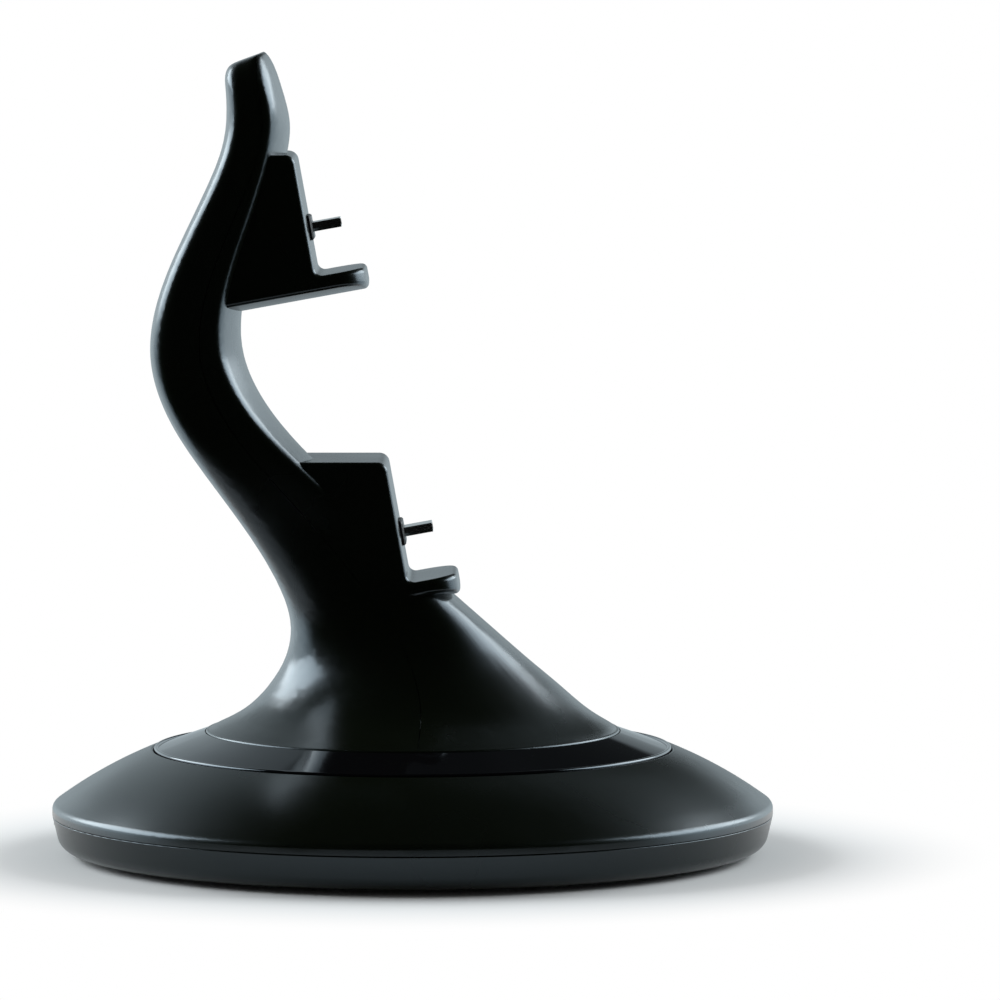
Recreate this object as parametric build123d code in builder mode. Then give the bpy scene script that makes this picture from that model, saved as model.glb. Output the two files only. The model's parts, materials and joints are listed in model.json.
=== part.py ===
from build123d import *
import math
import os

# Controller charging dock: a weighted round base, an S-shaped stem and two cradles with a plug each.
# Millimetres, +Z up, +X to the front, origin on the table under the middle of the base.

# Fits
seam = 0.3
hairline = 0.15
fit = 0.1

# Rubber feet
foot_proud = 1.2
foot_pocket_depth = 0.8
foot_diameter = 12.0
foot_circle = 104.0
foot_count = 4
foot_edge = 0.5

# Base pan
base_diameter = 140.4
base_wall = 2.2
pan_height = 6.6
pan_taper = 1.6
pan_edge_radius = 3.2
lip_height = 1.4
lip_thickness = 1.2

# Base dome
dome_height = 13.0
dome_rim_height = 1.9
dome_shoulder_radius = 1.6
dome_bulge = 0.85
dome_mouth_radius = 0.5
wire_hole_diameter = 18.0
boss_diameter = 6.4

# Glossy ring
ring_diameter = 100.6
ring_rise = 3.5
ring_drop = 0.3
ring_thickness = 2.7
ring_land = 2.0
window_diameter = 3.6
window_angles = (-36, -12, 12, 36)

# Stem
stem_foot_diameter = 80.6
stem_foot_rim = 1.2
stem_foot_sink = 0.8
stem_foot_step = 0.6
stem_foot_edge = 0.45
stem_wall = 2.0
stem_screw_circle = 54.0
stem_boss_height = 9.0
parting_lead = 1.2
section_steps = 32

# Flare of the foot: rise over the foot, how far the rear, the front and each side have drawn in from the
# foot's edge, wall thickness in units of stem_wall
flare_sections = [
    (2.8, 3.2, 2.4, 4.1, 1.6),
    (5.8, 8.0, 6.7, 10.9, 1.45),
    (9.8, 11.8, 11.3, 16.5, 1.25),
]
foot_walls = 1.8
ellipse_power = 2.0

# Stem over the flare: rise over the foot, rear face, front face, half width,
# squareness of the rear and front halves, crown of the front face, wall thickness in units of stem_wall
column_sections = [
    (14.8, -24.9, 22.4, 18.7, 2.2, 2.2, 0.0, 1.1),
    (20.8, -23.7, 15.4, 15.7, 2.7, 2.9, 0.0, 1.0),
    (28.8, -25.7, 6.1, 14.2, 3.5, 4.5, 0.0, 1.0),
    (39.8, -32.0, -5.0, 13.9, 4.2, 8.0, 0.6, 1.0),
    (52.8, -41.3, -18.6, 15.0, 4.6, 11.0, 1.8, 1.0),
    (64.8, -48.3, -28.8, 15.8, 4.8, 12.0, 2.8, 1.0),
    (74.8, -50.6, -33.1, 16.0, 5.0, 12.0, 3.2, 1.0),
    (84.8, -49.2, -33.0, 16.0, 5.0, 12.0, 3.2, 1.0),
    (95.8, -44.9, -30.1, 15.8, 5.0, 12.0, 3.0, 1.0),
    (107.8, -39.2, -25.9, 15.4, 4.6, 11.0, 3.2, 1.0),
    (118.8, -35.9, -23.75, 14.8, 4.2, 9.0, 2.9, 1.0),
    (125.0, -35.9, -25.0, 14.2, 4.2, 7.0, 2.0, 1.0),
]

# Rounded tip of the stem: rise, middle, half depth, half width, crown, backward lean in degrees
tip_sections = [
    (127.6, -31.05, 5.05, 13.5, 1.5, 10.0),
    (130.3, -31.8, 4.4, 11.8, 1.0, 20.0),
    (131.7, -31.6, 2.8, 9.0, 0.5, 20.0),
]
tip_squareness = 4.6

# Cradles: the corner where shelf and back wall meet, for the upper and the lower place
cradle_corners = {"upper": (-18.4, 113.1), "lower": (-0.7, 53.9)}
cradle_roots = {"upper": 22.0, "lower": 9.0}
cradle_tilt = 10.3
cradle_width = 28.0
cradle_wall = 2.2
cradle_crown = 1.8
cradle_back_height = 23.4
shelf_length = 9.5
shelf_thickness = 4.5
shelf_corner_radius = 6.0
cradle_edge_radius = 1.0
cradle_seat_radius = 1.5
cradle_top_radius = 2.0

# Plug in each cradle
plug_height = 9.1
plug_width = 6.85
plug_thickness = 1.8
plug_skin = 0.3
plug_reach = 6.3
plug_key = 0.6
plug_tongue_reach = 5.4
carrier_width = 10.6
carrier_height = 4.8
carrier_proud = 0.8
plug_board_width = 20.0
plug_board_height = 13.0
plug_board_thickness = 1.2
plug_board_standoff = 3.0
plug_screw_spacing = 15.2
plug_screw_diameter = 1.8
plug_screw_length = 4.2
plug_screw_head_diameter = 3.2
plug_screw_head_height = 1.1
plug_boss_diameter = 4.2

# Screws with a pan head
screw_diameter = 2.6
screw_head_diameter = 5.0
screw_head_height = 1.7
base_screw_length = 11.0
stem_screw_length = 7.4
board_screw_length = 6.6

# Main board and what stands on it
board_lift = 0.6
board_diameter = 92.0
board_thickness = 1.6
board_screw_circle = 56.0
board_tab_width = 12.0
board_tab_end = 66.5
led_circle = 87.0
led_size = (3.5, 2.8, 1.9)
chip_size = (6.0, 5.0, 1.6)
chip_places = [(18.0, -13.0), (18.0, 13.0)]
inlet_width = 7.6
inlet_height = 2.6
inlet_depth = 6.4
inlet_recess = 0.4
inlet_skin = 0.35
inlet_gap = 0.4
inlet_tongue = (4.2, 0.7, 4.0)

# Steel ballast plate
ballast_diameter = 86.0
ballast_thickness = 3.0
ballast_rib_height = 1.6
ballast_rib_thickness = 1.2

# Leads inside the stem: their foot, the rises they pass at the stem's middle, and their last turn
lead_diameter = 2.4
lead_sides = {"upper": -3.0, "lower": 3.0}
lead_foot = -4.0
lead_rise = 8.0
lead_drop = 3.0
lead_rises = {"upper": (24.0, 40.0, 58.0, 74.8, 86.0), "lower": ()}
lead_turns = {"upper": (10.5, 2.6), "lower": (5.8, 5.4)}
bend_share = 0.45

# Levels
pan_bottom = foot_proud
pan_floor = pan_bottom + base_wall
pan_top = pan_bottom + pan_height
dome_bottom = pan_top + hairline
dome_edge = pan_top + dome_height
ring_outer_top = dome_edge - ring_drop
ring_inner_top = ring_outer_top + ring_rise
foot_seat = ring_inner_top - stem_foot_sink
board_bottom = pan_top + board_lift
board_top = board_bottom + board_thickness
screw_seat = pan_bottom + foot_pocket_depth + screw_head_height + seam
inlet_middle = board_bottom - inlet_height / 2

# Radii
base_radius = base_diameter / 2
foot_ring = foot_circle / 2
stem_foot_radius = stem_foot_diameter / 2
ring_radius = ring_diameter / 2
platform_radius = stem_foot_radius + fit
ring_inner_radius = platform_radius + fit
dome_edge_radius = ring_radius + hairline
ring_slope = ring_rise / (ring_radius - ring_inner_radius)
land_inner_radius = ring_radius - ring_land
land_level = ring_outer_top + ring_slope * ring_land - ring_thickness
channel_radius = land_inner_radius - seam / ring_slope
channel_inner_level = land_level + ring_slope * (channel_radius - platform_radius)
platform_under = foot_seat - base_wall
tilt = math.radians(cradle_tilt)

# Sections of the whole stem, the flare's worked out from the foot's edge
flare_radius = stem_foot_radius - stem_foot_step
ellipse = (ellipse_power, ellipse_power, 0.0)
foot_section = (stem_foot_rim, -flare_radius, flare_radius, flare_radius, *ellipse, foot_walls)
stem_sections = []
for rise, *insets, walls in flare_sections:
    rear, front, side = [round(flare_radius - inset, 6) for inset in insets]
    stem_sections.append((rise, -rear, front, side, *ellipse, walls))
stem_sections += column_sections

# Faces of a plug board, measured out from the cradle's back wall
board_face = -cradle_wall - plug_board_standoff
board_back = board_face - plug_board_thickness

foot_places = PolarLocations(foot_ring, foot_count, start_angle=45)
stem_screw_places = PolarLocations(stem_screw_circle / 2, 4, start_angle=45)
board_screw_places = PolarLocations(board_screw_circle / 2, 4)
plug_screw_places = GridLocations(plug_screw_spacing, 1, 2, 1)


def finish(builder, name):
    builder.part.label = name
    export_step(builder.part, f"parts/{name}.step")


# Largest round edge of a turned piece at a level
def widest_circle(builder, level):
    circles = builder.edges().filter_by(GeomType.CIRCLE)
    return circles.filter_by_position(Axis.Z, level - fit, level + fit).sort_by(SortBy.RADIUS)[-1]


# Closed outline of one stem section: a superellipse whose rear and front halves differ in squareness.
# The crown lets the sides of the front face fall back from its middle
def section_outline(half_depth, half_width, rear_power, front_power, crown=0.0):
    points = []
    for step in range(section_steps):
        angle = 2 * math.pi * step / section_steps
        across = math.cos(angle)
        along = math.sin(angle)
        power = front_power if across > 0 else rear_power
        x = half_depth * math.copysign(abs(across) ** (2 / power), across)
        y = half_width * math.copysign(abs(along) ** (2 / power), along)
        fall = crown * (y / half_width) ** 2 * (x + half_depth) / (2 * half_depth)
        points.append((x - fall, y))
    return points


def section_plane(middle, level, lean):
    turn = math.radians(lean)
    return Plane(
        origin=(middle, 0, level),
        x_dir=(math.cos(turn), 0, math.sin(turn)),
        z_dir=(-math.sin(turn), 0, math.cos(turn)),
    )


# Middle of the stem at a rise over the foot, between the listed sections
def stem_middle(rise):
    rows = [(row[0], (row[1] + row[2]) / 2) for row in stem_sections]
    for (low, low_middle), (high, high_middle) in zip(rows, rows[1:]):
        if low <= rise <= high:
            share = (rise - low) / (high - low)
            return low_middle + share * (high_middle - low_middle)
    return rows[0][1] if rise < rows[0][0] else rows[-1][1]


# Point of a cradle in the XZ plane: out along the shelf and up along the back wall
def cradle_point(place, out, up):
    corner_x, corner_z = cradle_corners[place]
    x = corner_x + out * math.cos(tilt) - up * math.sin(tilt)
    z = corner_z + out * math.sin(tilt) + up * math.cos(tilt)
    return (x, z)


# Plane on the face of a cradle's back wall, looking out along the plug
def plug_plane(place, out=0.0):
    x, z = cradle_point(place, out, plug_height)
    return Plane(
        origin=(x, 0, z),
        x_dir=(0, 1, 0),
        z_dir=(math.cos(tilt), 0, math.sin(tilt)),
    )


# Pan-head screw standing on its seat and pointing along +Z of the plane, as many as there are places
def pan_head_screws(places, plane, length, diameter, head_diameter, head_height):
    with BuildPart() as screws:
        with BuildSketch(plane):
            with places:
                Circle(diameter / 2)
        extrude(amount=length)
        with BuildSketch(plane):
            with places:
                Circle(head_diameter / 2)
        extrude(amount=-head_height)
    return screws


os.makedirs("parts", exist_ok=True)

# Opening for the inlet socket, cut through the rear of the pan and the dome
inlet_mouth = Plane(
    origin=(inlet_recess - base_radius, 0, inlet_middle),
    x_dir=(0, 1, 0),
    z_dir=(1, 0, 0),
)
with BuildPart() as inlet_opening:
    with BuildSketch(inlet_mouth.offset(-base_wall)):
        RectangleRounded(inlet_width + 2 * inlet_gap, inlet_height + 2 * inlet_gap, inlet_gap)
    extrude(amount=3 * base_wall + lip_thickness)

# Base pan: rolled outer edge, locating lip, screw pillars over the foot pockets, rib round the ballast
lip_outer = base_radius - base_wall - fit
with BuildPart() as base_pan:
    with BuildSketch(Plane.XZ):
        with BuildLine():
            Polyline(
                (0, pan_bottom),
                (base_radius - pan_taper, pan_bottom),
                (base_radius, pan_top),
                (lip_outer, pan_top),
                (lip_outer, pan_top + lip_height),
                (lip_outer - lip_thickness, pan_top + lip_height),
                (lip_outer - lip_thickness, pan_floor),
                (0, pan_floor),
                close=True,
            )
        make_face()
    revolve(axis=Axis.Z)
    fillet(widest_circle(base_pan, pan_bottom), pan_edge_radius)
    fillet(widest_circle(base_pan, pan_floor), pan_edge_radius - base_wall)
    fillet(widest_circle(base_pan, pan_top), hairline)
    with BuildSketch(Plane.XY.offset(pan_floor)):
        Circle(ballast_diameter / 2 + fit + ballast_rib_thickness)
        Circle(ballast_diameter / 2 + fit, mode=Mode.SUBTRACT)
    extrude(amount=ballast_rib_height)
    with BuildSketch(Plane.XY.offset(pan_floor)):
        with foot_places:
            Circle(screw_head_diameter / 2 + base_wall)
    extrude(amount=pan_top - pan_floor)
    with BuildSketch(Plane.XY.offset(pan_bottom)):
        with foot_places:
            Circle(foot_diameter / 2 + fit)
    extrude(amount=foot_pocket_depth, mode=Mode.SUBTRACT)
    with BuildSketch(Plane.XY.offset(pan_bottom)):
        with foot_places:
            Circle(screw_head_diameter / 2 + fit)
    extrude(amount=screw_seat - pan_bottom, mode=Mode.SUBTRACT)
    with BuildSketch(Plane.XY.offset(pan_bottom)):
        with foot_places:
            Circle(screw_diameter / 2 + fit)
    extrude(amount=pan_height, mode=Mode.SUBTRACT)
    with BuildSketch(Plane.XY.offset(pan_top)):
        with Locations((-lip_outer, 0)):
            Rectangle(4 * lip_thickness, board_tab_width + 4 * seam)
    extrude(amount=lip_height, mode=Mode.SUBTRACT)
    add(inlet_opening.part, mode=Mode.SUBTRACT)
finish(base_pan, "base_pan")

# Base dome: stem platform, channel for the ring, convex skirt, bosses for the pan and the main board
with BuildPart() as base_dome:
    with BuildSketch(Plane.XZ):
        with BuildLine():
            skirt_top = (dome_edge_radius, dome_edge)
            skirt_end = (base_radius, dome_bottom + dome_rim_height)
            skirt_middle = (
                (skirt_top[0] + skirt_end[0]) / 2,
                (skirt_top[1] + skirt_end[1]) / 2 + dome_bulge,
            )
            Polyline(
                (wire_hole_diameter / 2, foot_seat),
                (platform_radius, foot_seat),
                (platform_radius, channel_inner_level),
                (channel_radius, land_level),
                (dome_edge_radius, land_level),
                skirt_top,
            )
            ThreePointArc(skirt_top, skirt_middle, skirt_end)
            Polyline(
                skirt_end,
                (base_radius, dome_bottom),
                (base_radius - base_wall, dome_bottom),
                (base_radius - base_wall, pan_top + lip_height + 2 * seam),
                (dome_edge_radius, land_level - base_wall),
                (channel_radius - base_wall / 2, land_level - base_wall),
                (platform_radius - 1.6 * base_wall, platform_under),
                (wire_hole_diameter / 2, platform_under),
                (wire_hole_diameter / 2, foot_seat),
            )
        make_face()
    revolve(axis=Axis.Z)
    fillet(widest_circle(base_dome, skirt_end[1]), dome_shoulder_radius)
    fillet(widest_circle(base_dome, dome_edge), dome_mouth_radius)
    with BuildSketch(Plane.XY.offset(pan_top)):
        with foot_places:
            Circle(boss_diameter / 2)
    extrude(amount=land_level - base_wall / 2 - pan_top)
    with BuildSketch(Plane.XY.offset(board_top)):
        with board_screw_places:
            Circle(boss_diameter / 2)
    extrude(amount=platform_under + base_wall / 2 - board_top)
    with BuildSketch(Plane.XY.offset(pan_top)):
        with foot_places:
            Circle(screw_diameter / 2 + fit / 2)
    extrude(amount=screw_seat + base_screw_length + seam - pan_top, mode=Mode.SUBTRACT)
    with BuildSketch(Plane.XY.offset(board_top)):
        with board_screw_places:
            Circle(screw_diameter / 2 + fit / 2)
    extrude(amount=board_screw_length - board_thickness + seam, mode=Mode.SUBTRACT)
    with BuildSketch(Plane.XY.offset(platform_under)):
        with stem_screw_places:
            Circle(screw_diameter / 2 + fit)
    extrude(amount=base_wall, mode=Mode.SUBTRACT)
    with BuildSketch(Plane.XY.offset(board_top)):
        for angle in window_angles:
            with Locations(Location((0, 0, 0), (0, 0, angle))):
                with Locations((led_circle / 2, 0)):
                    Circle(window_diameter / 2)
    extrude(amount=ring_inner_top - board_top, mode=Mode.SUBTRACT)
    add(inlet_opening.part, mode=Mode.SUBTRACT)
finish(base_dome, "base_dome")

# Smoked glossy ring, standing on the flat land of the dome's channel
with BuildPart() as light_ring:
    with BuildSketch(Plane.XZ):
        with BuildLine():
            Polyline(
                (ring_inner_radius, ring_inner_top),
                (ring_radius, ring_outer_top),
                (ring_radius, land_level),
                (land_inner_radius, land_level),
                (ring_inner_radius, ring_inner_top - ring_thickness),
                close=True,
            )
        make_face()
    revolve(axis=Axis.Z)
finish(light_ring, "light_ring")

# Outer form of the stem, from the round foot through the S to the rounded tip
with BuildPart() as stem_form:
    for rise, rear, front, half_width, *squareness, crown, _ in [foot_section] + stem_sections:
        with BuildSketch(section_plane((rear + front) / 2, foot_seat + rise, 0)):
            with BuildLine():
                outline = section_outline((front - rear) / 2, half_width, *squareness, crown)
                Spline(*outline, periodic=True)
            make_face()
    for rise, middle, half_depth, half_width, crown, lean in tip_sections:
        with BuildSketch(section_plane(middle, foot_seat + rise, lean)):
            with BuildLine():
                outline = section_outline(half_depth, half_width, tip_squareness, tip_squareness, crown)
                Spline(*outline, periodic=True)
            make_face()
    loft()
    with BuildSketch(Plane.XY.offset(foot_seat)):
        Circle(stem_foot_radius)
    extrude(amount=stem_foot_rim)
    fillet(widest_circle(stem_form, foot_seat + stem_foot_rim), stem_foot_edge)

# Hollow of the stem, open at the foot
foot_hollow = (-base_wall,) + foot_section[1:]
with BuildPart() as stem_hollow:
    for rise, rear, front, half_width, *squareness, crown, walls in [foot_hollow] + stem_sections:
        wall = walls * stem_wall
        with BuildSketch(section_plane((rear + front) / 2, foot_seat + rise, 0)):
            with BuildLine():
                half_depth = (front - rear) / 2 - wall
                outline = section_outline(half_depth, half_width - wall, *squareness, crown)
                Spline(*outline, periodic=True)
            make_face()
    loft()


# Half space in front of (1) or behind (-1) the parting surface, which runs just ahead of the stem's middle
def parting_side(side):
    shift = parting_lead + side * hairline / 2
    foot_point = (shift, foot_seat - base_wall)
    middles = [(stem_middle(row[0]) + shift, foot_seat + row[0]) for row in stem_sections]
    top = foot_seat + stem_sections[-1][0] + stem_foot_radius
    far = side * base_diameter
    with BuildPart() as half:
        with BuildSketch(Plane.XZ):
            with BuildLine():
                Spline(foot_point, *middles, (middles[-1][0], top), tangents=[(0, 1), (0, 1)])
                Polyline((middles[-1][0], top), (far, top), (far, foot_seat - base_wall), foot_point)
            make_face()
        extrude(amount=base_diameter, both=True)
    return half.part


# Outside of one cradle: back wall and shelf with a crowned underside, rooted in the stem
def cradle_form(place):
    top = cradle_corners[place][1] + cradle_back_height
    lean = cradle_back_height * math.tan(tilt)
    corner = cradle_point(place, 0, 0)
    back_top = (corner[0] - lean, top)
    shelf_top = cradle_point(place, shelf_length, 0)
    shelf_bottom = cradle_point(place, shelf_length, -shelf_thickness)
    root_bottom = cradle_point(place, -cradle_roots[place], -shelf_thickness)
    root_top = (stem_middle(top - foot_seat), top)
    with BuildPart() as form:
        with BuildSketch(Plane.XZ) as side_view:
            with BuildLine():
                Polyline(root_bottom, shelf_bottom, shelf_top, corner, back_top, root_top, close=True)
            make_face()
            fillet(side_view.vertices().sort_by_distance(corner)[0], cradle_seat_radius)
            fillet(side_view.vertices().sort_by_distance(back_top)[0], cradle_top_radius)
        extrude(amount=cradle_width / 2, both=True)
        shelf_level = Plane(
            origin=(corner[0], 0, corner[1]),
            x_dir=(math.cos(tilt), 0, math.sin(tilt)),
            z_dir=(-math.sin(tilt), 0, math.cos(tilt)),
        )
        tips = form.edges().filter_by(Axis(origin=(0, 0, 0), direction=shelf_level.z_dir))
        fillet(tips.sort_by(Axis(origin=(0, 0, 0), direction=shelf_level.x_dir))[-2:], shelf_corner_radius)
        half = cradle_width / 2
        edge = cradle_crown - shelf_thickness
        with BuildSketch(Plane(origin=shelf_level.origin, x_dir=(0, 1, 0), z_dir=shelf_level.x_dir)):
            with BuildLine():
                ThreePointArc((-half, edge), (0, -shelf_thickness), (half, edge))
                Polyline((half, edge), (half, base_diameter), (-half, base_diameter), (-half, edge))
            make_face()
        extrude(amount=base_diameter, both=True, mode=Mode.INTERSECT)
        sides = form.faces().filter_by(Axis.Y)
        fillet(sides.edges(), cradle_edge_radius)
    return form.part


# Room over a shelf and in front of the back wall, let into both by a margin
def seat_room(place, margin):
    with BuildPart() as room:
        with BuildSketch(Plane.XZ):
            with BuildLine():
                Polyline(
                    cradle_point(place, -margin, -margin),
                    cradle_point(place, 2 * shelf_length, -margin),
                    cradle_point(place, 2 * shelf_length, cradle_back_height),
                    cradle_point(place, -margin, cradle_back_height),
                    close=True,
                )
            make_face()
        extrude(amount=cradle_width, both=True)
    return room.part


# Room behind a cradle's back wall for the plug and its board, open into the stem
def cradle_hollow(place):
    top = cradle_corners[place][1] + cradle_back_height - cradle_wall
    floor = cradle_wall + cradle_crown / 2 - shelf_thickness
    wall_bottom = cradle_point(place, -cradle_wall, floor)
    rise = top - wall_bottom[1]
    wall_top = (wall_bottom[0] - rise * math.tan(tilt), top)
    root_bottom = cradle_point(place, -cradle_roots[place], floor)
    root_top = (stem_middle(top - foot_seat), top)
    with BuildPart() as hollow:
        with BuildSketch(Plane.XZ):
            with BuildLine():
                Polyline(root_bottom, wall_bottom, wall_top, root_top, close=True)
            make_face()
        extrude(amount=cradle_width / 2 - cradle_wall, both=True)
    return hollow.part


# Slot for the plug's carrier, and the two bosses for its board, in a cradle's back wall
def carrier_slot(place):
    with BuildPart() as slot:
        with BuildSketch(plug_plane(place, -2 * cradle_wall)):
            RectangleRounded(carrier_width + 2 * fit, carrier_height + 2 * fit, 2 * seam)
        extrude(amount=4 * cradle_wall)
    return slot.part


def plug_bosses(place):
    with BuildPart() as bosses:
        with BuildSketch(plug_plane(place, board_face)):
            with plug_screw_places:
                Circle(plug_boss_diameter / 2)
        extrude(amount=plug_board_standoff + cradle_wall / 2)
        with BuildSketch(plug_plane(place, board_face)):
            with plug_screw_places:
                Circle(plug_screw_diameter / 2 + fit / 2)
        extrude(amount=plug_screw_length - plug_board_thickness + fit, mode=Mode.SUBTRACT)
    return bosses.part


# Screw bosses inside the flare of the foot, trimmed by the stem's outer form
with BuildPart() as foot_bosses:
    with BuildSketch(Plane.XY.offset(foot_seat)):
        with stem_screw_places:
            Circle(boss_diameter / 2)
    extrude(amount=stem_boss_height)
    add(stem_form.part, mode=Mode.INTERSECT)
with BuildPart() as foot_holes:
    with BuildSketch(Plane.XY.offset(foot_seat)):
        with stem_screw_places:
            Circle(screw_diameter / 2 + fit / 2)
    extrude(amount=stem_screw_length - base_wall + seam)

# Rear half of the stem
with BuildPart() as stem_rear_shell:
    add(stem_form.part)
    add(stem_hollow.part, mode=Mode.SUBTRACT)
    add(foot_bosses.part)
    add(foot_holes.part, mode=Mode.SUBTRACT)
    add(parting_side(-1), mode=Mode.INTERSECT)
finish(stem_rear_shell, "stem_rear_shell")

# Hollow of the front half, kept out of the cradles' walls and shelves
with BuildPart() as front_hollow:
    add(stem_hollow.part)
    for place in cradle_corners:
        add(seat_room(place, cradle_wall), mode=Mode.SUBTRACT)

# Front half of the stem, moulded with both cradles
with BuildPart() as stem_front_shell:
    add(stem_form.part)
    for place in cradle_corners:
        add(seat_room(place, seam), mode=Mode.SUBTRACT)
        add(cradle_form(place))
    add(front_hollow.part, mode=Mode.SUBTRACT)
    for place in cradle_corners:
        add(cradle_hollow(place), mode=Mode.SUBTRACT)
        add(plug_bosses(place))
        add(carrier_slot(place), mode=Mode.SUBTRACT)
    add(foot_bosses.part)
    add(foot_holes.part, mode=Mode.SUBTRACT)
    add(parting_side(1), mode=Mode.INTERSECT)
finish(stem_front_shell, "stem_front_shell")


# Outline of the plug's nose, keyed at its two lower corners
def plug_outline(inset):
    half = plug_width / 2 - inset
    high = plug_thickness / 2 - inset
    key = plug_key - inset * (2 - math.sqrt(2))
    return [
        (-half, high),
        (half, high),
        (half, key - high),
        (half - key, -high),
        (key - half, -high),
        (-half, key - high),
    ]


# Metal nose of each plug, soldered to its board
for place in cradle_corners:
    with BuildPart() as plug_shell:
        with BuildSketch(plug_plane(place, board_face)):
            Polygon(*plug_outline(0), align=None)
            Polygon(*plug_outline(plug_skin), align=None, mode=Mode.SUBTRACT)
        extrude(amount=plug_reach - board_face)
    finish(plug_shell, f"{place}_plug_shell")

# Insulator in each nose: a full root and a half-height tongue
for place in cradle_corners:
    with BuildPart() as plug_core:
        with BuildSketch(plug_plane(place, board_face)):
            Polygon(*plug_outline(plug_skin + fit / 2), align=None)
        extrude(amount=carrier_proud - board_face)
        with BuildSketch(plug_plane(place, carrier_proud)):
            with Locations((0, -plug_thickness / 4)):
                Rectangle(plug_width - 2 * plug_key - 2 * plug_skin, plug_thickness / 2 - 2 * plug_skin)
        extrude(amount=plug_tongue_reach - carrier_proud)
    finish(plug_core, f"{place}_plug_core")

# Moulded collar that holds each nose in its cradle's wall
for place in cradle_corners:
    with BuildPart() as plug_carrier:
        with BuildSketch(plug_plane(place, board_face)):
            RectangleRounded(carrier_width, carrier_height, 2 * seam)
        extrude(amount=carrier_proud - board_face)
        front = plug_carrier.faces().sort_by(Axis.X)[-1]
        chamfer(front.edges(), seam)
        with BuildSketch(plug_plane(place, board_face)):
            Polygon(*plug_outline(-fit / 2), align=None)
        extrude(amount=carrier_proud - board_face, mode=Mode.SUBTRACT)
    finish(plug_carrier, f"{place}_plug_carrier")

# Small board behind each cradle wall, on two bosses
for place in cradle_corners:
    with BuildPart() as plug_board:
        with BuildSketch(plug_plane(place, board_face)):
            Rectangle(plug_board_width, plug_board_height)
            with plug_screw_places:
                Circle(plug_screw_diameter / 2 + fit, mode=Mode.SUBTRACT)
        extrude(amount=-plug_board_thickness)
    finish(plug_board, f"{place}_plug_board")
    plug_screws = pan_head_screws(
        plug_screw_places,
        plug_plane(place, board_back),
        plug_screw_length,
        plug_screw_diameter,
        plug_screw_head_diameter,
        plug_screw_head_height,
    )
    finish(plug_screws, f"{place}_plug_screws")

# Main board: a disc with a tab that carries the inlet socket
with BuildPart() as main_board:
    with BuildSketch(Plane.XY.offset(board_bottom)):
        Circle(board_diameter / 2)
        with Locations((-board_tab_end / 2, 0)):
            Rectangle(board_tab_end, board_tab_width)
        with board_screw_places:
            Circle(screw_diameter / 2 + fit, mode=Mode.SUBTRACT)
    extrude(amount=board_thickness)
finish(main_board, "main_board")

with BuildPart() as charge_chips:
    with BuildSketch(Plane.XY.offset(board_top)):
        with Locations(*chip_places):
            Rectangle(chip_size[0], chip_size[1])
    extrude(amount=chip_size[2])
finish(charge_chips, "charge_chips")

with BuildPart() as status_leds:
    with BuildSketch(Plane.XY.offset(board_top)):
        for angle in window_angles:
            with Locations(Location((0, 0, 0), (0, 0, angle))):
                with Locations((led_circle / 2, 0)):
                    Rectangle(led_size[1], led_size[0])
    extrude(amount=led_size[2])
finish(status_leds, "status_leds")

# Inlet socket under the tab, its mouth at the rear of the rim
with BuildPart() as inlet_socket:
    with BuildSketch(inlet_mouth):
        RectangleRounded(inlet_width, inlet_height, inlet_gap)
    extrude(amount=inlet_depth)
    with BuildSketch(inlet_mouth):
        inner_width = inlet_width - 2 * inlet_skin
        inner_height = inlet_height - 2 * inlet_skin
        RectangleRounded(inner_width, inner_height, inlet_gap - inlet_skin / 2)
    extrude(amount=inlet_depth - inlet_skin, mode=Mode.SUBTRACT)
    with BuildSketch(inlet_mouth.offset(inlet_depth - inlet_skin)):
        Rectangle(inlet_tongue[0], inlet_tongue[1])
    extrude(amount=-inlet_tongue[2])
finish(inlet_socket, "inlet_socket")

# Steel ballast plate on the pan's floor
with BuildPart() as ballast_plate:
    with BuildSketch(Plane.XY.offset(pan_floor)):
        Circle(ballast_diameter / 2)
    extrude(amount=ballast_thickness)
    chamfer(ballast_plate.edges(), seam)
finish(ballast_plate, "ballast_plate")

# Rubber feet in the pan's pockets, over the screws
for number, location in enumerate(foot_places, start=1):
    with BuildPart() as rubber_foot:
        with BuildSketch(Plane.XY):
            with Locations(location.position):
                Circle(foot_diameter / 2)
        extrude(amount=foot_proud + foot_pocket_depth)
        chamfer(rubber_foot.edges().sort_by(Axis.Z)[0], foot_edge)
    finish(rubber_foot, f"rubber_foot_{number}")

# Screws: pan to dome, dome to stem, main board to dome
screw_sizes = (screw_diameter, screw_head_diameter, screw_head_height)
base_seat = Plane.XY.offset(screw_seat)
base_screws = pan_head_screws(foot_places, base_seat, base_screw_length, *screw_sizes)
finish(base_screws, "base_screws")
stem_seat = Plane.XY.offset(platform_under)
stem_screws = pan_head_screws(stem_screw_places, stem_seat, stem_screw_length, *screw_sizes)
finish(stem_screws, "stem_screws")
board_seat = Plane.XY.offset(board_bottom)
board_screws = pan_head_screws(board_screw_places, board_seat, board_screw_length, *screw_sizes)
finish(board_screws, "main_board_screws")


# Bend radii of a lead: as large as the shorter of the two runs at each point allows
def bend_radii(points):
    radii = []
    for before, here, after in zip(points, points[1:], points[2:]):
        run_in = Vector(here) - Vector(before)
        run_out = Vector(after) - Vector(here)
        half_turn = math.radians(run_in.get_angle(run_out) / 2)
        radii.append(bend_share * min(run_in.length, run_out.length) / math.tan(half_turn))
    return radii


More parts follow.
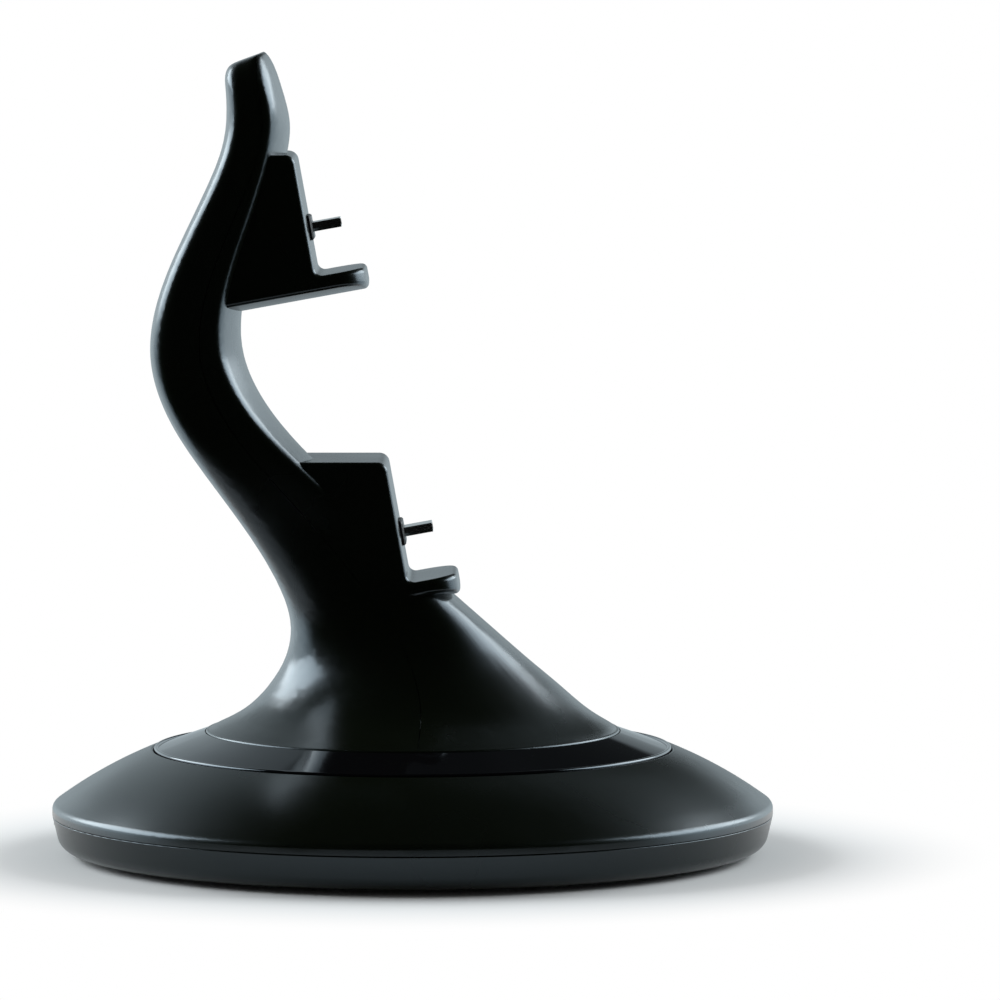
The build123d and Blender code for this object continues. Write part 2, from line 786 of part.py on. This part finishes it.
# Leads from the main board up the middle of the stem, cut flush with the back of each plug board
for place in cradle_corners:
    end_x, end_z = cradle_point(place, board_back + lead_diameter, plug_height - lead_drop)
    back, down = lead_turns[place]
    points = [(lead_foot, board_top), (lead_foot, foot_seat + lead_rise)]
    points += [(stem_middle(rise), foot_seat + rise) for rise in lead_rises[place]]
    points += [(end_x - back, end_z - down), (end_x, end_z)]
    with BuildPart() as lead:
        with BuildLine(Plane.XZ.offset(-lead_sides[place])) as path:
            FilletPolyline(*points, radius=bend_radii(points))
        with BuildSketch(Plane(origin=path.line @ 0, z_dir=path.line % 0)):
            Circle(lead_diameter / 2)
        sweep(path=path.line)
        with BuildSketch(plug_plane(place, board_back)):
            Rectangle(plug_board_width, plug_board_height)
        extrude(amount=2 * lead_diameter, mode=Mode.SUBTRACT)
    finish(lead, f"{place}_lead")
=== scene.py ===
import bpy
import json
import math
from mathutils import Matrix, Vector

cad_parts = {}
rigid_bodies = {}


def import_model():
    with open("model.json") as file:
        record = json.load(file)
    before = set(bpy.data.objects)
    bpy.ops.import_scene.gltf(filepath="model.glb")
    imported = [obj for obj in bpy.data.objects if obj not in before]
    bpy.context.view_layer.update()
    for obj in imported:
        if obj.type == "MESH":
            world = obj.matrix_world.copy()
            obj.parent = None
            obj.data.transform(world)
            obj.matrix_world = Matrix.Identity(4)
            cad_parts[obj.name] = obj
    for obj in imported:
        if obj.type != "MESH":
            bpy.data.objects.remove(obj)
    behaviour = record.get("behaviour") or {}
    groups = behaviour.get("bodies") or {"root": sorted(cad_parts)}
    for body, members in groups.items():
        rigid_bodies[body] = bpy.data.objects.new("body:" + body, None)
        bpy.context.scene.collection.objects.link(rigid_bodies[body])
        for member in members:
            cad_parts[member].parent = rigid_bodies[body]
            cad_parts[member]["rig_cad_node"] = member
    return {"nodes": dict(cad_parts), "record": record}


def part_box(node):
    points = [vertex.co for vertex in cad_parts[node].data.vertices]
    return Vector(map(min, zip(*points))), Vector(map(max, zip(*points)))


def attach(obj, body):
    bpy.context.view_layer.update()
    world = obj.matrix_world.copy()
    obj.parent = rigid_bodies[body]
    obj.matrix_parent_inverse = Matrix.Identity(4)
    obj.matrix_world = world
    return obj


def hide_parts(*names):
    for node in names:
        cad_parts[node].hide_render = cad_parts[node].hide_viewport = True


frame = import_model()
nodes = frame["nodes"]
mounts = {mount["name"]: mount for mount in frame["record"]["mounts"]}
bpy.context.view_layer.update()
scene = bpy.context.scene
scene.view_settings.view_transform = "Standard"
print("frame loaded:", len(nodes), "nodes")


# small helpers

smoothAngle = math.radians(32.0)  # joined CAD faces that meet at less than this shade as one
creaseAngle = math.radians(40.0)  # the same for new pieces
weldReach = 0.000002
plainWhite = (1.0, 1.0, 1.0, 1.0)


def deselectAll():
    bpy.ops.object.select_all(action="DESELECT")


def setMaterial(piece, material):
    piece.data.materials.clear()
    piece.data.materials.append(material)


# a copy of a CAD node with its corners joined, so that its round faces shade smoothly
def smoothCopy(settings):
    deselectAll()
    node = nodes[settings["node"]]
    node.select_set(True)
    bpy.context.view_layer.objects.active = node
    bpy.ops.object.duplicate()
    piece = bpy.context.active_object
    piece.name = settings["name"]
    piece.data.name = settings["name"]
    del piece["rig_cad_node"]
    bpy.ops.object.mode_set(mode="EDIT")
    bpy.ops.mesh.select_all(action="SELECT")
    bpy.ops.mesh.remove_doubles(threshold=weldReach)
    bpy.ops.mesh.customdata_custom_splitnormals_clear()
    bpy.ops.object.mode_set(mode="OBJECT")
    bpy.ops.object.shade_smooth_by_angle(angle=smoothAngle)
    weighted = piece.modifiers.new("weighted", "WEIGHTED_NORMAL")
    weighted.keep_sharp = True
    bpy.ops.object.modifier_apply(modifier=weighted.name)
    setMaterial(piece, settings["material"])
    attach(piece, "root")
    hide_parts(settings["node"])


# shader groups

def addNode(tree, kind, x, y):
    node = tree.nodes.new(kind)
    node.location = (x, y)
    return node


def makeGroup(name, inputs, outputs):
    group = bpy.data.node_groups.new(name, "ShaderNodeTree")
    for socketName, kind, value in inputs:
        socket = group.interface.new_socket(name=socketName, in_out="INPUT", socket_type=kind)
        socket.default_value = value
    for socketName, kind in outputs:
        group.interface.new_socket(name=socketName, in_out="OUTPUT", socket_type=kind)
    return group, addNode(group, "NodeGroupInput", -900, 0), addNode(group, "NodeGroupOutput", 600, 0)


finishInputs = [
    ("Grain Scale", "NodeSocketFloat", 2600.0),
    ("Mark Scale", "NodeSocketFloat", 28.0),
    ("Rough Low", "NodeSocketFloat", 0.24),
    ("Rough High", "NodeSocketFloat", 0.3),
]
finishOutputs = [("Height", "NodeSocketFloat"), ("Roughness", "NodeSocketFloat")]
finishSettings = {
    "grainDetail": 2.0,
    "markDetail": 4.0,
    "markRange": (0.3, 0.7),
    "evenly": (1.0, 1.0, 1.0),
    "brushed": (0.08, 1.0, 1.0),
}


# a fine grain for the bump and broad soft marks for the roughness; stretch draws both out along one axis
def makeFinishGroup(name, stretch):
    group, entry, leave = makeGroup(name, finishInputs, finishOutputs)
    place = addNode(group, "ShaderNodeTexCoord", -900, 300)
    drawn = addNode(group, "ShaderNodeMapping", -700, 300)
    drawn.inputs["Scale"].default_value = stretch
    grain = addNode(group, "ShaderNodeTexNoise", -400, 300)
    grain.inputs["Detail"].default_value = finishSettings["grainDetail"]
    marks = addNode(group, "ShaderNodeTexNoise", -400, 0)
    marks.inputs["Detail"].default_value = finishSettings["markDetail"]
    spread = addNode(group, "ShaderNodeMapRange", 0, 0)
    spread.inputs["From Min"].default_value = finishSettings["markRange"][0]
    spread.inputs["From Max"].default_value = finishSettings["markRange"][1]
    link = group.links.new
    link(place.outputs["Object"], drawn.inputs["Vector"])
    link(drawn.outputs["Vector"], grain.inputs["Vector"])
    link(drawn.outputs["Vector"], marks.inputs["Vector"])
    link(entry.outputs["Grain Scale"], grain.inputs["Scale"])
    link(entry.outputs["Mark Scale"], marks.inputs["Scale"])
    link(marks.outputs["Fac"], spread.inputs["Value"])
    link(entry.outputs["Rough Low"], spread.inputs["To Min"])
    link(entry.outputs["Rough High"], spread.inputs["To Max"])
    link(grain.outputs["Fac"], leave.inputs["Height"])
    link(spread.outputs["Result"], leave.inputs["Roughness"])
    return group


mouldFinish = makeFinishGroup("mouldFinish", finishSettings["evenly"])
brushedFinish = makeFinishGroup("brushedFinish", finishSettings["brushed"])


trackSettings = {
    "mask": (0.006, 0.07, 0.03),
    "track": (0.02, 0.16, 0.06),
    "scale": 180.0,
    "offset": 0.35,
    "squash": 1.6,
    "width": 0.06,
    "cellLength": 1.3,
    "cellHeight": 0.4,
}


# copper tracks under the green mask of a circuit board
def makeTrackGroup(settings):
    group, entry, leave = makeGroup(
        "boardTracks",
        [
            ("Mask", "NodeSocketColor", (*settings["mask"], 1.0)),
            ("Track", "NodeSocketColor", (*settings["track"], 1.0)),
            ("Track Scale", "NodeSocketFloat", settings["scale"]),
        ],
        [("Color", "NodeSocketColor")],
    )
    place = addNode(group, "ShaderNodeTexCoord", -900, 300)
    tracks = addNode(group, "ShaderNodeTexBrick", -300, 200)
    tracks.offset = settings["offset"]
    tracks.squash = settings["squash"]
    tracks.inputs["Mortar Size"].default_value = settings["width"]
    tracks.inputs["Brick Width"].default_value = settings["cellLength"]
    tracks.inputs["Row Height"].default_value = settings["cellHeight"]
    link = group.links.new
    link(place.outputs["Object"], tracks.inputs["Vector"])
    link(entry.outputs["Mask"], tracks.inputs["Color1"])
    link(entry.outputs["Mask"], tracks.inputs["Color2"])
    link(entry.outputs["Track"], tracks.inputs["Mortar"])
    link(entry.outputs["Track Scale"], tracks.inputs["Scale"])
    link(tracks.outputs["Color"], leave.inputs["Color"])
    return group


boardTracks = makeTrackGroup(trackSettings)


# materials

def makeMaterial(settings):
    material = bpy.data.materials.new(settings["name"])
    material.use_nodes = True
    tree = material.node_tree
    shader = tree.nodes["Principled BSDF"]
    shader.inputs["Base Color"].default_value = (*settings["colour"], 1.0)
    shader.inputs["Metallic"].default_value = settings.get("metallic", 0.0)
    shader.inputs["IOR"].default_value = settings.get("ior", 1.5)
    shader.inputs["Specular Tint"].default_value = (*settings.get("tint", (1.0, 1.0, 1.0)), 1.0)
    finish = addNode(tree, "ShaderNodeGroup", -500, 0)
    finish.node_tree = settings["finish"]
    finish.inputs["Grain Scale"].default_value = settings["grainScale"]
    finish.inputs["Mark Scale"].default_value = settings["markScale"]
    finish.inputs["Rough Low"].default_value = settings["rough"][0]
    finish.inputs["Rough High"].default_value = settings["rough"][1]
    bump = addNode(tree, "ShaderNodeBump", -250, -200)
    bump.inputs["Strength"].default_value = settings["bump"]
    bump.inputs["Distance"].default_value = settings["bumpDepth"]
    tree.links.new(finish.outputs["Roughness"], shader.inputs["Roughness"])
    tree.links.new(finish.outputs["Height"], bump.inputs["Height"])
    tree.links.new(bump.outputs["Normal"], shader.inputs["Normal"])
    return material


coolTint = (0.74, 0.88, 1.0)  # the black plastics mirror light a little cold
satinBlack = makeMaterial({
    "name": "satinBlack",
    "colour": (0.0022, 0.0034, 0.001),
    "tint": coolTint,
    "ior": 1.53,
    "finish": mouldFinish,
    "rough": (0.23, 0.29),
    "grainScale": 2600.0,
    "markScale": 28.0,
    "bump": 0.04,
    "bumpDepth": 0.0001,
})
smokedGloss = makeMaterial({
    "name": "smokedGloss",
    "colour": (0.003, 0.003, 0.0035),
    "tint": coolTint,
    "ior": 1.53,
    "finish": mouldFinish,
    "rough": (0.04, 0.06),
    "grainScale": 900.0,
    "markScale": 22.0,
    "bump": 0.005,
    "bumpDepth": 0.00005,
})
carrierBlack = makeMaterial({
    "name": "carrierBlack",
    "colour": (0.008, 0.008, 0.009),
    "finish": mouldFinish,
    "rough": (0.42, 0.52),
    "grainScale": 3200.0,
    "markScale": 90.0,
    "bump": 0.08,
    "bumpDepth": 0.00008,
})
chipBlack = makeMaterial({
    "name": "chipBlack",
    "colour": (0.014, 0.014, 0.015),
    "finish": mouldFinish,
    "rough": (0.5, 0.62),
    "grainScale": 4200.0,
    "markScale": 160.0,
    "bump": 0.15,
    "bumpDepth": 0.00008,
})
leadBlack = makeMaterial({
    "name": "leadBlack",
    "colour": (0.01, 0.01, 0.011),
    "finish": mouldFinish,
    "rough": (0.36, 0.48),
    "grainScale": 1500.0,
    "markScale": 60.0,
    "bump": 0.06,
    "bumpDepth": 0.0001,
})
footRubber = makeMaterial({
    "name": "footRubber",
    "colour": (0.018, 0.018, 0.018),
    "finish": mouldFinish,
    "rough": (0.72, 0.85),
    "grainScale": 1900.0,
    "markScale": 140.0,
    "bump": 0.25,
    "bumpDepth": 0.00015,
})
ledWhite = makeMaterial({
    "name": "ledWhite",
    "colour": (0.78, 0.74, 0.55),
    "finish": mouldFinish,
    "rough": (0.3, 0.4),
    "grainScale": 2600.0,
    "markScale": 200.0,
    "bump": 0.05,
    "bumpDepth": 0.00005,
})
brightMetal = makeMaterial({
    "name": "brightMetal",
    "colour": (0.62, 0.61, 0.59),
    "metallic": 1.0,
    "finish": brushedFinish,
    "rough": (0.2, 0.32),
    "grainScale": 5200.0,
    "markScale": 220.0,
    "bump": 0.06,
    "bumpDepth": 0.00004,
})
plainSteel = makeMaterial({
    "name": "plainSteel",
    "colour": (0.4, 0.4, 0.41),
    "metallic": 1.0,
    "finish": brushedFinish,
    "rough": (0.34, 0.52),
    "grainScale": 1800.0,
    "markScale": 60.0,
    "bump": 0.1,
    "bumpDepth": 0.0001,
})
screwSteel = makeMaterial({
    "name": "screwSteel",
    "colour": (0.22, 0.22, 0.23),
    "metallic": 1.0,
    "finish": mouldFinish,
    "rough": (0.3, 0.42),
    "grainScale": 3000.0,
    "markScale": 150.0,
    "bump": 0.05,
    "bumpDepth": 0.00005,
})
contactGold = makeMaterial({
    "name": "contactGold",
    "colour": (0.78, 0.56, 0.24),
    "metallic": 1.0,
    "finish": brushedFinish,
    "rough": (0.22, 0.34),
    "grainScale": 6000.0,
    "markScale": 300.0,
    "bump": 0.05,
    "bumpDepth": 0.00003,
})
circuitBoard = makeMaterial({
    "name": "circuitBoard",
    "colour": trackSettings["mask"],
    "finish": mouldFinish,
    "rough": (0.32, 0.42),
    "grainScale": 2200.0,
    "markScale": 120.0,
    "bump": 0.04,
    "bumpDepth": 0.00005,
})
boardTree = circuitBoard.node_tree
tracks = addNode(boardTree, "ShaderNodeGroup", -500, 300)
tracks.node_tree = boardTracks
boardTree.links.new(tracks.outputs["Color"], boardTree.nodes["Principled BSDF"].inputs["Base Color"])
print("materials made")

slotMaterials = {
    "satin_black": satinBlack,
    "smoked_gloss": smokedGloss,
    "carrier_black": carrierBlack,
    "chip_black": chipBlack,
    "circuit_board": circuitBoard,
    "led_white": ledWhite,
    "bright_metal": brightMetal,
    "plain_steel": plainSteel,
    "screw_steel": screwSteel,
    "foot_rubber": footRubber,
    "lead_black": leadBlack,
}
slotOf = {part["node"]: part["material_slot"] for part in frame["record"]["subparts"]}


# pieces

for node in nodes.values():
    setMaterial(node, slotMaterials[slotOf[node.name]])

smoothPieces = {
    "base_pan": "basePan",
    "base_dome": "baseDome",
    "light_ring": "lightRing",
    "stem_rear_shell": "stemRearShell",
    "stem_front_shell": "stemFrontShell",
    "upper_plug_carrier": "upperPlugCarrier",
    "lower_plug_carrier": "lowerPlugCarrier",
    "upper_plug_shell": "upperPlugShell",
    "lower_plug_shell": "lowerPlugShell",
    "inlet_socket": "inletSocket",
    "rubber_foot_1": "rubberFoot1",
    "rubber_foot_2": "rubberFoot2",
    "rubber_foot_3": "rubberFoot3",
    "rubber_foot_4": "rubberFoot4",
}
for nodeName, pieceName in smoothPieces.items():
    smoothCopy({
        "node": nodeName,
        "name": pieceName,
        "slot": slotOf[nodeName],
        "material": slotMaterials[slotOf[nodeName]],
    })
print("smooth pieces:", len(smoothPieces))

# fine rolled edges on the stem's foot and on the glossy ring: level counts from the node's lowest point,
# outset from its widest, and wholeTop keeps the inner half of the bead too
footRollSettings = {
    "name": "footRoll",
    "node": "stem_rear_shell",
    "level": 0.00075,
    "edge": 0.00045,
    "outset": 0.000012,
    "wholeTop": False,
    "material": satinBlack,
}
ringRollSettings = {
    "name": "ringRoll",
    "node": "light_ring",
    "level": 0.00214,
    "edge": 0.00045,
    "outset": 0.0001,
    "wholeTop": True,
    "material": smokedGloss,
}
rollSteps = 288
rollSides = 40
rollSkin = 0.00008


def makeRoll(settings):
    nodeLow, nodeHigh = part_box(settings["node"])
    middle = nodeHigh[1] + settings["outset"] - settings["edge"]
    level = nodeLow[2] + settings["level"]
    deselectAll()
    bpy.ops.mesh.primitive_torus_add(
        location=(0.0, 0.0, level),
        major_radius=middle,
        minor_radius=settings["edge"],
        major_segments=rollSteps,
        minor_segments=rollSides,
    )
    roll = bpy.context.active_object
    bpy.ops.object.transform_apply(location=True, rotation=True, scale=True)
    bpy.ops.object.mode_set(mode="EDIT")
    bpy.ops.mesh.select_all(action="SELECT")
    bpy.ops.mesh.bisect(plane_co=(0.0, 0.0, level), plane_no=(0.0, 0.0, 1.0), clear_inner=True)
    bpy.ops.mesh.select_mode(type="FACE")
    bpy.ops.mesh.select_all(action="DESELECT")
    bpy.ops.object.mode_set(mode="OBJECT")
    if not settings["wholeTop"]:
        for face in roll.data.polygons:
            face.select = math.hypot(face.center.x, face.center.y) < middle
        bpy.ops.object.mode_set(mode="EDIT")
        bpy.ops.mesh.delete(type="FACE")
        bpy.ops.object.mode_set(mode="OBJECT")
    skin = roll.modifiers.new("skin", "SOLIDIFY")
    skin.thickness = rollSkin
    skin.offset = -1.0  # the wall grows inwards
    bpy.ops.object.modifier_apply(modifier=skin.name)
    bpy.ops.object.shade_smooth_by_angle(angle=creaseAngle)
    roll.name = settings["name"]
    roll.data.name = settings["name"]
    setMaterial(roll, settings["material"])
    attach(roll, "root")


makeRoll(footRollSettings)
makeRoll(ringRollSettings)
print("rolled edges made")

# the gold strips of one plug
contactSettings = {
    "count": 5,
    "pitch": 0.00065,
    "length": 0.0042,
    "width": 0.0004,
    "thick": 0.00014,
    "edge": 0.00004,
    "edgeSteps": 2,
    "cuts": 3,
    "noseFacing": 0.9,
    "noseTaper": 0.6,
    "setBack": 0.0032,
    "drop": 0.00024,
}


# one strip lies along X, its nose narrowed and its edges broken
def makeStrip(settings):
    deselectAll()
    bpy.ops.mesh.primitive_cube_add(size=1.0)
    strip = bpy.context.active_object
    bpy.ops.object.mode_set(mode="EDIT")
    bpy.ops.transform.resize(value=(settings["length"], settings["width"], settings["thick"]))
    bpy.ops.mesh.subdivide(number_cuts=settings["cuts"])
    bpy.ops.object.mode_set(mode="OBJECT")
    for face in strip.data.polygons:
        face.select = face.normal.x > settings["noseFacing"]
    bpy.ops.object.mode_set(mode="EDIT")
    bpy.ops.mesh.select_mode(type="FACE")
    taper = settings["noseTaper"]
    nose = (settings["length"] / 2, 0.0, 0.0)
    bpy.ops.transform.resize(value=(1.0, taper, taper), center_override=nose)
    bpy.ops.object.mode_set(mode="OBJECT")
    bevel = strip.modifiers.new("edge", "BEVEL")
    bevel.width = settings["edge"]
    bevel.segments = settings["edgeSteps"]
    bpy.ops.object.modifier_apply(modifier=bevel.name)
    bpy.ops.object.shade_smooth_by_angle(angle=creaseAngle)
    return strip


# a row of strips on the tongue, placed by the plug's mount at the end of its nose
def makeContacts(name, mount, settings):
    axis = Vector(mount["axis"])
    up = Vector((-axis.z, 0.0, axis.x))
    side = up.cross(axis)
    turn = Matrix((axis, side, up)).transposed().to_4x4()
    middle = Vector(mount["pos_m"]) - settings["setBack"] * axis - settings["drop"] * up
    strip = makeStrip(settings)
    row = [strip]
    while len(row) < settings["count"]:
        bpy.ops.object.duplicate()
        row.append(bpy.context.active_object)
    for number, piece in enumerate(row):
        across = (number - (settings["count"] - 1) / 2) * settings["pitch"]
        piece.matrix_world = Matrix.Translation(middle + across * side) @ turn
    deselectAll()
    for piece in row:
        piece.select_set(True)
    bpy.context.view_layer.objects.active = strip
    bpy.ops.object.join()
    bpy.ops.object.transform_apply(location=True, rotation=True, scale=True)
    strip.name = name
    strip.data.name = name
    setMaterial(strip, contactGold)
    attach(strip, "root")


makeContacts("upperPlugContacts", mounts["upper_plug"], contactSettings)
makeContacts("lowerPlugContacts", mounts["lower_plug"], contactSettings)
print("contacts made")


# floor and white surround

floorSettings = {
    "radius": 0.13,
    "sides": 96,
    "colour": (0.86, 0.86, 0.86),
    "roughness": 0.9,
    "whiteFrom": 0.071,
    "whiteBy": 0.115,
}


def makeFloor(settings):
    deselectAll()
    bpy.ops.mesh.primitive_circle_add(
        vertices=settings["sides"],
        radius=settings["radius"],
        fill_type="NGON",
    )
    floor = bpy.context.active_object
    floor.name = "floor"
    material = bpy.data.materials.new("paleFloor")
    material.use_nodes = True
    tree = material.node_tree
    matt = tree.nodes["Principled BSDF"]
    matt.inputs["Base Color"].default_value = (*settings["colour"], 1.0)
    matt.inputs["Roughness"].default_value = settings["roughness"]
    matt.inputs["Specular IOR Level"].default_value = 0.0
    white = addNode(tree, "ShaderNodeEmission", 0, -250)
    white.inputs["Color"].default_value = plainWhite
    mix = addNode(tree, "ShaderNodeMixShader", 250, 0)
    place = addNode(tree, "ShaderNodeTexCoord", -900, 300)
    reach = addNode(tree, "ShaderNodeVectorMath", -700, 300)
    reach.operation = "LENGTH"
    fade = addNode(tree, "ShaderNodeMapRange", -450, 300)
    fade.interpolation_type = "SMOOTHSTEP"
    fade.inputs["From Min"].default_value = settings["whiteFrom"]
    fade.inputs["From Max"].default_value = settings["whiteBy"]
    rays = addNode(tree, "ShaderNodeLightPath", -900, 0)
    seen = addNode(tree, "ShaderNodeMath", -650, 0)
    seen.operation = "MAXIMUM"
    seenToo = addNode(tree, "ShaderNodeMath", -450, 0)
    seenToo.operation = "MAXIMUM"
    share = addNode(tree, "ShaderNodeMath", -200, 200)
    share.operation = "MULTIPLY"
    link = tree.links.new
    link(place.outputs["Object"], reach.inputs[0])
    link(reach.outputs["Value"], fade.inputs["Value"])
    link(rays.outputs["Is Camera Ray"], seen.inputs[0])
    link(rays.outputs["Is Glossy Ray"], seen.inputs[1])
    link(seen.outputs["Value"], seenToo.inputs[0])
    link(rays.outputs["Is Transmission Ray"], seenToo.inputs[1])
    link(fade.outputs["Result"], share.inputs[0])
    link(seenToo.outputs["Value"], share.inputs[1])
    link(share.outputs["Value"], mix.inputs["Fac"])
    link(matt.outputs["BSDF"], mix.inputs[1])
    link(white.outputs["Emission"], mix.inputs[2])
    link(mix.outputs["Shader"], tree.nodes["Material Output"].inputs["Surface"])
    setMaterial(floor, material)


makeFloor(floorSettings)

# gloss sees a pale wall behind the dock that darkens upwards and to the right, a band along its foot
# that grows taller and brighter to both sides, and a dark room in front
worldSettings = {
    "colour": (0.81, 0.95, 1.02),
    "ambient": 0.2,
    "wallSlope": 1.19,
    "wallStops": [(0.12, 0.58), (0.3, 0.4), (0.43, 0.32), (0.48, 0.03), (0.8, 0.02), (0.87, 0.2)],
    "wallTop": (0.82, 0.66),
    "bandMiddle": 0.35,
    "bandSides": 2.2,
    "bandRise": 0.75,
    "bandTop": (0.12, 0.05),
    "frontFade": (-0.2, 0.2),
}


def makeWorld(settings):
    world = bpy.data.worlds.new("studio")
    scene.world = world
    world.use_nodes = True
    tree = world.node_tree
    tree.nodes.clear()
    leave = addNode(tree, "ShaderNodeOutputWorld", 900, 0)
    rays = addNode(tree, "ShaderNodeLightPath", -600, 400)
    coord = addNode(tree, "ShaderNodeTexCoord", -1100, 0)
    lift = addNode(tree, "ShaderNodeVectorMath", -900, 0)
    lift.operation = "DOT_PRODUCT"
    lift.inputs[1].default_value = (settings["wallSlope"], 0.0, 1.0)
    wall = addNode(tree, "ShaderNodeValToRGB", -700, 0)
    stops = wall.color_ramp.elements
    while len(stops) < len(settings["wallStops"]):
        stops.new(1.0)
    for stop, (place, glow) in zip(stops, settings["wallStops"]):
        stop.position = place
        stop.color = (glow, glow, glow, 1.0)
    top = addNode(tree, "ShaderNodeMapRange", -500, 150)
    top.inputs["From Min"].default_value = settings["wallTop"][0]
    top.inputs["From Max"].default_value = settings["wallTop"][1]
    wallGlow = addNode(tree, "ShaderNodeMath", -300, 0)
    wallGlow.operation = "MULTIPLY"
    split = addNode(tree, "ShaderNodeSeparateXYZ", -900, -250)
    aside = addNode(tree, "ShaderNodeMath", -700, -250)
    aside.operation = "ABSOLUTE"
    band = addNode(tree, "ShaderNodeMath", -500, -250)
    band.operation = "MULTIPLY_ADD"
    band.inputs[1].default_value = settings["bandSides"]
    band.inputs[2].default_value = settings["bandMiddle"]
    climb = addNode(tree, "ShaderNodeMath", -700, -450)
    climb.operation = "MULTIPLY_ADD"
    climb.inputs[1].default_value = -settings["bandRise"]
    low = addNode(tree, "ShaderNodeMapRange", -500, -450)
    low.inputs["From Min"].default_value = settings["bandTop"][0]
    low.inputs["From Max"].default_value = settings["bandTop"][1]
    lowBand = addNode(tree, "ShaderNodeMath", -300, -300)
    lowBand.operation = "MULTIPLY"
    brightest = addNode(tree, "ShaderNodeMath", -100, -150)
    brightest.operation = "MAXIMUM"
    behind = addNode(tree, "ShaderNodeMapRange", -300, -600)
    behind.inputs["From Min"].default_value = settings["frontFade"][0]
    behind.inputs["From Max"].default_value = settings["frontFade"][1]
    glow = addNode(tree, "ShaderNodeMath", 50, -200)
    glow.operation = "MULTIPLY"
    gloss = addNode(tree, "ShaderNodeBackground", 250, -100)
    gloss.inputs["Color"].default_value = (*settings["colour"], 1.0)
    white = addNode(tree, "ShaderNodeBackground", 250, 200)
    white.inputs["Color"].default_value = plainWhite
    ambient = addNode(tree, "ShaderNodeBackground", 250, -300)
    ambient.inputs["Color"].default_value = plainWhite
    ambient.inputs["Strength"].default_value = settings["ambient"]
    glossMix = addNode(tree, "ShaderNodeMixShader", 450, -150)
    mix = addNode(tree, "ShaderNodeMixShader", 700, 0)
    link = tree.links.new
    link(coord.outputs["Generated"], lift.inputs[0])
    link(coord.outputs["Generated"], split.inputs["Vector"])
    link(lift.outputs["Value"], wall.inputs["Fac"])
    link(split.outputs["X"], aside.inputs[0])
    link(aside.outputs["Value"], band.inputs[0])
    link(aside.outputs["Value"], climb.inputs[0])
    link(split.outputs["Z"], climb.inputs[2])
    link(climb.outputs["Value"], low.inputs["Value"])
    link(band.outputs["Value"], lowBand.inputs[0])
    link(low.outputs["Result"], lowBand.inputs[1])
    link(split.outputs["Z"], top.inputs["Value"])
    link(wall.outputs["Color"], wallGlow.inputs[0])
    link(top.outputs["Result"], wallGlow.inputs[1])
    link(wallGlow.outputs["Value"], brightest.inputs[0])
    link(lowBand.outputs["Value"], brightest.inputs[1])
    link(split.outputs["Y"], behind.inputs["Value"])
    link(brightest.outputs["Value"], glow.inputs[0])
    link(behind.outputs["Result"], glow.inputs[1])
    link(glow.outputs["Value"], gloss.inputs["Strength"])
    link(rays.outputs["Is Glossy Ray"], glossMix.inputs["Fac"])
    link(ambient.outputs["Background"], glossMix.inputs[1])
    link(gloss.outputs["Background"], glossMix.inputs[2])
    link(rays.outputs["Is Camera Ray"], mix.inputs["Fac"])
    link(glossMix.outputs["Shader"], mix.inputs[1])
    link(white.outputs["Background"], mix.inputs[2])
    link(mix.outputs["Shader"], leave.inputs["Surface"])


makeWorld(worldSettings)

lampColour = (0.89, 0.96, 0.99)
lampAim = Vector((0.0, 0.0, 0.07))


# bearing counts from straight behind the dock, minus to the left, and height from the table,
# both in degrees
def makeSoftbox(settings):
    lamp = bpy.data.lights.new(settings["name"], "AREA")
    lamp.shape = "RECTANGLE"
    lamp.size = settings["width"]
    lamp.size_y = settings["tall"]
    lamp.energy = settings["glow"] * math.pi * settings["width"] * settings["tall"]
    lamp.color = lampColour
    light = bpy.data.objects.new(settings["name"], lamp)
    scene.collection.objects.link(light)
    bearing = math.radians(settings["bearing"])
    height = math.radians(settings["height"])
    outward = math.cos(height)
    toLight = Vector((math.sin(bearing) * outward, math.cos(bearing) * outward, math.sin(height)))
    light.location = lampAim + settings["distance"] * toLight
    light.rotation_euler = toLight.to_track_quat("Z", "Y").to_euler()


makeSoftbox({
    "name": "leftSoftbox",
    "width": 1.35,
    "tall": 0.68,
    "glow": 6.6,
    "bearing": -71.0,
    "height": 24.0,
    "distance": 1.25,
})
makeSoftbox({
    "name": "rightSoftbox",
    "width": 1.3,
    "tall": 0.68,
    "glow": 5.8,
    "bearing": 69.0,
    "height": 25.0,
    "distance": 1.25,
})
print("floor, surround and lights made")

cameraSettings = {
    "place": (0.017, -1.5, 0.1868),
    "aim": (0.017, 0.0, 0.069),
    "lens": 278.6,
    "sensor": 36.0,
    "clip": (0.05, 50.0),
}
lens = bpy.data.cameras.new("camera")
lens.lens = cameraSettings["lens"]
lens.sensor_width = cameraSettings["sensor"]
lens.clip_start, lens.clip_end = cameraSettings["clip"]
camera = bpy.data.objects.new("camera", lens)
scene.collection.objects.link(camera)
camera.location = cameraSettings["place"]
toAim = Vector(cameraSettings["aim"]) - camera.location
camera.rotation_euler = toAim.to_track_quat("-Z", "Y").to_euler()
scene.camera = camera
print("camera set")
